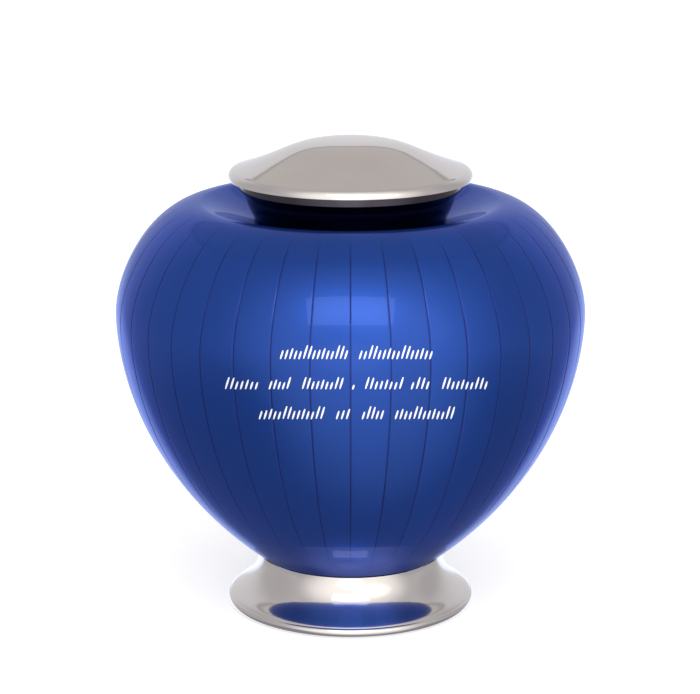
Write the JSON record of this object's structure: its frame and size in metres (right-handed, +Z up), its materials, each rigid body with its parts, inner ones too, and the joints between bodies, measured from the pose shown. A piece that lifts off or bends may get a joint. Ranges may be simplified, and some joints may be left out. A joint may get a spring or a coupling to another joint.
{
  "type": "cremation urn",
  "caption": "Footed metal urn with a round hollow body in panelled blue enamel, a tapered neck collar and a low domed lid that lifts off",
  "frame": {"origin": "middle of the foot's underside, on the ground", "axes": "+Z up along the axis of the vessel, the inscribed front looks along -Y, +X to the viewer's right"},
  "size_m": [0.2048, 0.2049, 0.209],
  "materials": {
    "blue_enamel": "glossy translucent blue enamel over brass",
    "nickel_collar": "polished black nickel plate over brass",
    "nickel_lid": "polished nickel plate over brass",
    "nickel_foot": "polished nickel plate over brass"
  },
  "bodies": {
    "root": {"body": "blue_enamel", "neck_collar": "nickel_collar", "lid": "nickel_lid", "foot": "nickel_foot"}
  },
  "joints": []
}
